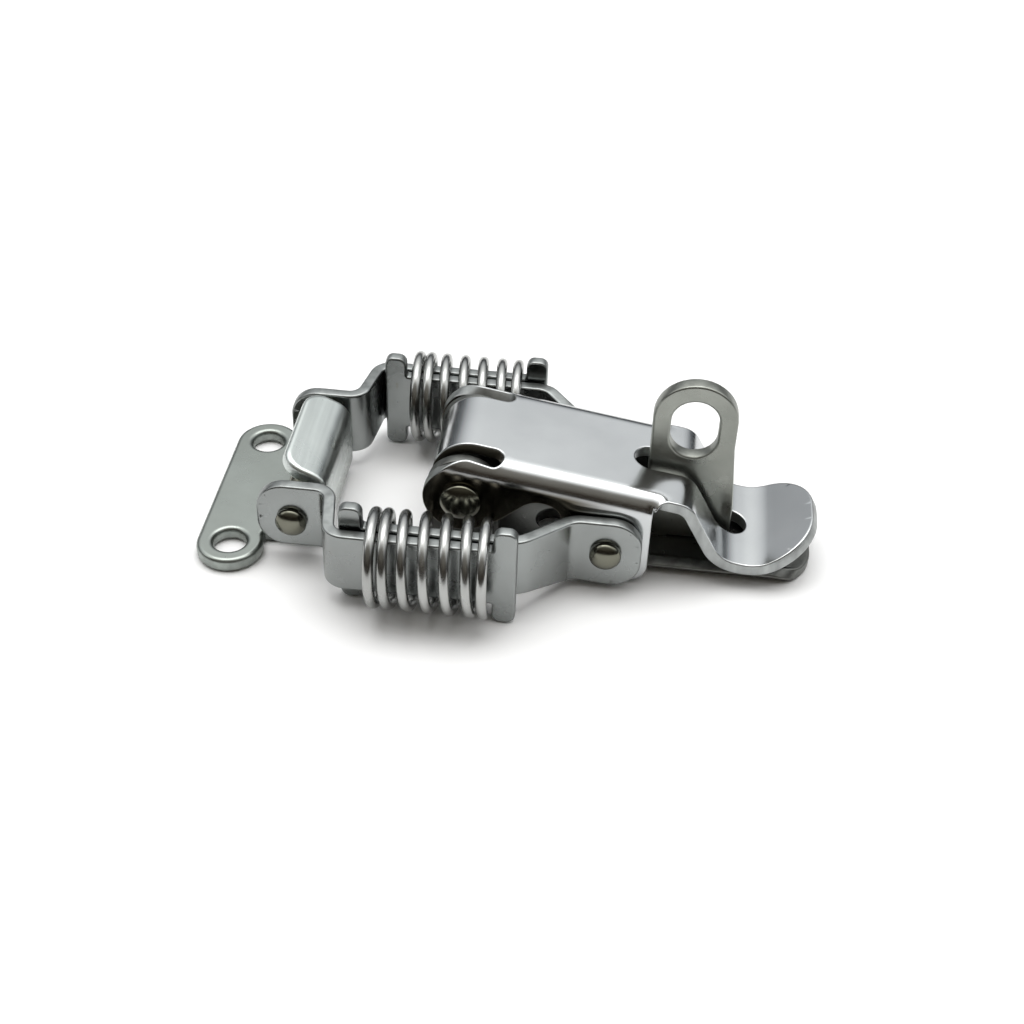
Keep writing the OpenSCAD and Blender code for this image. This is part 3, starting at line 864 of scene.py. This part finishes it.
def make_hook_arm(side, sign):
    left, right = HOOK_ARM_LOW.x, HOOK_ARM_HIGH.x
    top, foot = crank_top(), crank_top() - CRANK_RUN
    line = Path([(PIN.x - 8, ARM_MID_Y, 0), (foot, ARM_MID_Y, CRANK_BEND), (top, OUTER_Y, CRANK_BEND),
                 (right, OUTER_Y, 0)])
    seat = right - SEAT_DEPTH
    corners = [(left, HOOK_EAR_LOW, HOOK_EAR_ROUND), (foot + 0.2, HOOK_EAR_LOW, 1), (top, PLATE_LOW, 1),
               (seat, PLATE_LOW, SEAT_FILLET), (seat, SEAT_LOW_Z, SEAT_CORNER),
               (right, SEAT_LOW_Z, SEAT_CORNER), (right, SEAT_HIGH_Z, SEAT_CORNER),
               (seat, SEAT_HIGH_Z, SEAT_CORNER), (seat, PLATE_HIGH, SEAT_FILLET), (top, PLATE_HIGH, 0.5),
               (foot + 0.2, HOOK_EAR_HIGH, 0.5), (left, HOOK_EAR_HIGH, EAR_CORNER)]
    piece = plate_from("hook_arm_plate_" + side, line, corners, sign)
    finish_piece(piece, "hook_arm_" + side, "hook_arms", SATIN)


# ---------------------------------------------------------------- rivets and cross pin
SHANK_R = 1.5
INNER_HEAD_R = 1.9
INNER_HEAD_RISE = 0.5
PIVOT_HEAD_R = 2.6
LINK_HEAD_R = 2.0
PIN_HEAD_R = 2.0
PIN_NECK_R = 1.4
DOME_STEPS = 16


def head_profile(radius, rise, base, rim=0.6):
    """Rounded rivet head from its rim at base to its crown on the axis."""
    ball = (radius * radius + rise * rise) / (2 * rise)
    limit = math.asin(radius / ball)
    dome = []
    for i in range(DOME_STEPS + 1):
        a = limit * (DOME_STEPS - i) / DOME_STEPS
        height = (math.cos(a) - math.cos(limit)) / (1 - math.cos(limit))
        dome.append((ball * math.sin(a), base + rim + (rise - rim) * height))
    return [(radius - 0.08, base), (radius, base + 0.04)] + dome


def make_rivet(side, sign, kind, centre, head_r, seat_y, body):
    low, high = box_mm(kind + "_rivet_far")
    flat = low.y + INNER_HEAD_RISE
    profile = [(0, low.y), (INNER_HEAD_R - 0.18, low.y), (INNER_HEAD_R, low.y + 0.15), (INNER_HEAD_R, flat),
               (SHANK_R, flat), (SHANK_R, seat_y)]
    profile += head_profile(head_r, high.y - seat_y, seat_y)
    piece = lathe(kind + "_rivet_head_" + side, profile, (centre.x, 0, centre.z), sign)
    finish_piece(piece, kind + "_rivet_" + side, body, RIVET)


def make_cross_pin():
    reach = PIN_HIGH.y
    half = head_profile(PIN_HEAD_R, reach - ARM_OUT_Y, ARM_OUT_Y)
    shoulder = ARM_IN_Y - RUN_FIT
    body = [(PIN_NECK_R, ARM_OUT_Y), (PIN_NECK_R, shoulder), (PIN_R - 0.12, shoulder),
            (PIN_R, shoulder - 0.15)]
    right = list(reversed(body)) + half
    profile = [(r, -d) for r, d in reversed(right)] + right
    piece = lathe("cross_pin_bar", profile, (PIN.x, 0, PIN.z), 1)
    finish_piece(piece, "cross_pin", "hook_arms", RIVET)


# ---------------------------------------------------------------- springs
TURNS = 6.8
COIL_OD = SPRING_HIGH.y - SPRING_LOW.y
COIL_START = math.radians(-150)
END_PITCH = WIRE + 0.05
END_TURNS = 0.8
OPEN_TURNS = 1.6
LAST_FALL = 0.8
STEPS_PER_TURN = 72


def eased(t, width):
    """Turns passed at t when the change comes in evenly over width turns."""
    if t <= 0:
        return 0.0
    return t - width / 2 if t >= width else t * t / (2 * width)


def left_open(t):
    return eased(t - END_TURNS, OPEN_TURNS)


def right_shut(t):
    return LAST_FALL * eased(t - (TURNS - 1), 1)


def make_spring(side, sign):
    low, high = SPRING_LOW.x + WIRE / 2, SPRING_HIGH.x - WIRE / 2
    radius = COIL_OD / 2 - WIRE / 2
    closed = END_PITCH * (TURNS - left_open(TURNS))
    open_pitch = (high - low - closed) / (left_open(TURNS) - right_shut(TURNS))
    steps, sides = round(TURNS * STEPS_PER_TURN), 20

    def centre(i):
        passed = TURNS * i / steps
        turn = COIL_START + 2 * math.pi * passed
        x = low + END_PITCH * passed + (open_pitch - END_PITCH) * left_open(passed)
        x -= open_pitch * right_shut(passed)
        return Vector((x, -radius * math.sin(turn), radius * math.cos(turn))), turn

    verts, faces = [], []
    for i in range(steps + 1):
        point, turn = centre(i)
        radial = Vector((0, -math.sin(turn), math.cos(turn)))
        ahead = centre(min(steps, i + 1))[0] - centre(max(0, i - 1))[0]
        side_axis = unit(ahead).cross(radial)
        for k in range(sides):
            a = 2 * math.pi * k / sides
            q = point + (radial * math.cos(a) + side_axis * math.sin(a)) * (WIRE / 2)
            verts.append((q.x, q.y + sign * SPRING_Y, q.z + SPRING_Z))
    for i in range(steps):
        for k in range(sides):
            n = (k + 1) % sides
            faces.append([i * sides + k, i * sides + n, (i + 1) * sides + n, (i + 1) * sides + k])
    faces.append(list(range(sides)))
    faces.append([steps * sides + k for k in reversed(range(sides))])
    piece = new_piece("coil_spring_" + side, verts, faces)
    turn_faces_out(piece)
    finish_piece(piece, "spring_" + side, "lever_arms", SPRING_WIRE)
    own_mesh(piece)


# ---------------------------------------------------------------- strike
STRIKE_LOBE = 4.3
WAIST_X = 4.1
HOOK_HALF = 8.2
HOOK_BEND = 2.2
LIP_CORNER = 3.0
LIP_BEND = 2.0
LIP_TILT = math.radians(24)
LIP_REACH = 1.5
LIP_ROOM = 0.05


def make_strike():
    pitch_half = STRIKE_HIGH.y - STRIKE_LOBE
    mid = STRIKE_SHEET / 2
    wall_x = STRIKE_HIGH.x - mid
    tip_x = PIN.x - LIP_REACH - mid * math.sin(LIP_TILT)
    tip_z = STRIKE_HIGH.z - mid * math.cos(LIP_TILT)
    root_z = tip_z - (wall_x - tip_x) * math.tan(LIP_TILT)
    line = Path([(STRIKE_LOW.x, mid, 0), (wall_x, mid, HOOK_BEND), (wall_x, root_z, LIP_BEND),
                 (tip_x, tip_z, 0)])
    end = line.length - LIP_ROOM
    half = []
    for degrees in range(180, 387, 6):
        a = math.radians(degrees)
        s, v = STRIKE_LOBE + STRIKE_LOBE * math.cos(a), -pitch_half + STRIKE_LOBE * math.sin(a)
        half.append(Vector((s, v)))
    half += outline([(*half[-1], 0), (STRIKE_LOBE + WAIST_X, -HOOK_HALF, 0.4), (end, -HOOK_HALF, LIP_CORNER),
                     (end, -1, 0)])[1:-1]
    loops = [half + mirrored(half)]
    loops += [screw_hole(STRIKE_LOBE, y) for y in (-pitch_half, pitch_half)]

    def bend(s, v, h):
        point, normal = line.at(s)
        return point.x + normal.x * h, v, point.y + normal.y * h

    piece = sheet("strike_plate", loops, STRIKE_SHEET, bend, line.stops(0.9, 0.25), edge=0.6)
    finish_piece(piece, "strike", "strike", TUMBLED)


make_base()
make_staple()
make_lever()
for side, sign in SIDES:
    make_lever_arm(side, sign)
    make_hook_arm(side, sign)
    make_spring(side, sign)
for side, sign in SIDES:
    make_rivet(side, sign, "pivot", PIVOT, PIVOT_HEAD_R, LEVER_Y + FACE_GAP, "base")
    make_rivet(side, sign, "link", LINK, LINK_HEAD_R, ARM_OUT_Y + FACE_GAP, "lever")
make_cross_pin()
make_strike()


# ---------------------------------------------------------------- floor, light and camera
FLOOR_HALF = 3.0
FLOOR_DROP = 0.00002
FLOOR_WHITE = (0.93, 0.93, 0.93)
FLOOR_ROUGH = 0.9
LIGHT_TARGET = (0.005, 0, 0.008)
# name, place, size and power in watts of each soft light
SOFT_LIGHTS = (
    ("key_softbox", (-0.02, 0.08, 0.48), (0.45, 0.26), 0.9),
    ("left_softbox", (-0.50, -0.10, 0.35), (0.10, 0.25), 0.12),
    ("right_softbox", (0.50, 0.10, 0.30), (0.10, 0.25), 0.12),
)
# tone of the studio by the height of the direction, behind the latch and in front of it
BACK_SKY = (
    (0.0, (0.008, 0.008, 0.008)),
    (0.06, (0.012, 0.012, 0.013)),
    (0.16, (0.03, 0.032, 0.034)),
    (0.30, (0.06, 0.063, 0.066)),
    (0.42, (0.20, 0.205, 0.21)),
    (0.52, (0.29, 0.295, 0.30)),
    (0.64, (0.385, 0.39, 0.39)),
    (0.82, (0.60, 0.60, 0.60)),
    (1.0, (0.8, 0.8, 0.79)),
)
FRONT_SKY = (
    (0.0, (0.012, 0.010, 0.008)),
    (0.35, (0.014, 0.011, 0.008)),
    (0.62, (0.065, 0.060, 0.052)),
    (1.0, (0.10, 0.095, 0.085)),
)
FRONT_Y, BACK_Y = -0.50, -0.02
BACKDROP_GREY = (0.31, 0.31, 0.31)
SKY_STRENGTH = 3.0


def link_object(name, data):
    item = bpy.data.objects.new(name, data)
    bpy.context.scene.collection.objects.link(item)
    return item


def make_floor():
    material, _, _, shader = node_tree("floor_white")
    shader.inputs["Base Color"].default_value = (*FLOOR_WHITE, 1)
    shader.inputs["Roughness"].default_value = FLOOR_ROUGH
    corners = [(x * FLOOR_HALF, y * FLOOR_HALF, 0) for x, y in ((-1, -1), (1, -1), (1, 1), (-1, 1))]
    mesh = bpy.data.meshes.new("floor")
    mesh.from_pydata(corners, [], [(0, 1, 2, 3)])
    mesh.materials.append(material)
    floor = link_object("floor", mesh)
    floor.location.z = -FLOOR_DROP


def make_lights():
    for name, place, size, power in SOFT_LIGHTS:
        light = bpy.data.lights.new(name, "AREA")
        light.shape = "RECTANGLE"
        light.size, light.size_y = size
        light.energy = power
        lamp = link_object(name, light)
        lamp.location = place
        lamp.rotation_mode = "QUATERNION"
        lamp.rotation_quaternion = (Vector(LIGHT_TARGET) - Vector(place)).to_track_quat("-Z", "Y")


def make_world():
    world = bpy.data.worlds.new("studio")
    bpy.context.scene.world = world
    world.use_nodes = True
    nodes, links = world.node_tree.nodes, world.node_tree.links
    split = add(nodes, "ShaderNodeSeparateXYZ")
    links.new(add(nodes, "ShaderNodeTexCoord").outputs["Generated"], split.inputs[0])
    back_sky, front_sky = ramp_node(nodes, BACK_SKY), ramp_node(nodes, FRONT_SKY)
    for sky in (back_sky, front_sky):
        links.new(split.outputs["Z"], sky.inputs[0])
    side = map_range(nodes, links, split.outputs["Y"], FRONT_Y, BACK_Y, smooth=True)
    studio = mix_colour(nodes, links, side, front_sky.outputs[0], back_sky.outputs[0])
    camera_ray = add(nodes, "ShaderNodeLightPath").outputs["Is Camera Ray"]
    background = nodes["Background"]
    links.new(mix_colour(nodes, links, camera_ray, studio, BACKDROP_GREY), background.inputs["Color"])
    background.inputs["Strength"].default_value = SKY_STRENGTH


CAMERA_AZIMUTH = math.radians(5.3)
CAMERA_ELEVATION = math.radians(39.66)
CAMERA_ROLL = math.radians(2.13)
CAMERA_DISTANCE = 0.2088
CAMERA_TARGET = Vector((0.0056, 0.0005, 0.0018))
CAMERA_CLIP = 0.01
SENSOR_WIDTH = 36
# focal length over the width of the view, both in pixels of a 1024-pixel frame
FOCAL_SHARE = 1566 / 1024


def make_camera():
    flat = math.cos(CAMERA_ELEVATION)
    back = Vector((math.sin(CAMERA_AZIMUTH) * flat, -math.cos(CAMERA_AZIMUTH) * flat,
                   math.sin(CAMERA_ELEVATION)))
    level = Vector((math.cos(CAMERA_AZIMUTH), math.sin(CAMERA_AZIMUTH), 0))
    upright = back.cross(level)
    right = level * math.cos(CAMERA_ROLL) + upright * math.sin(CAMERA_ROLL)
    up = upright * math.cos(CAMERA_ROLL) - level * math.sin(CAMERA_ROLL)
    data = bpy.data.cameras.new("camera")
    data.sensor_width = SENSOR_WIDTH
    data.lens = SENSOR_WIDTH * FOCAL_SHARE
    data.clip_start = CAMERA_CLIP
    camera = link_object("camera", data)
    turn = Matrix((right, up, back)).transposed().to_4x4()
    camera.matrix_world = Matrix.Translation(CAMERA_TARGET + back * CAMERA_DISTANCE) @ turn
    bpy.context.scene.camera = camera


make_floor()
make_lights()
make_world()
make_camera()
bpy.context.scene.view_settings.view_transform = "Standard"
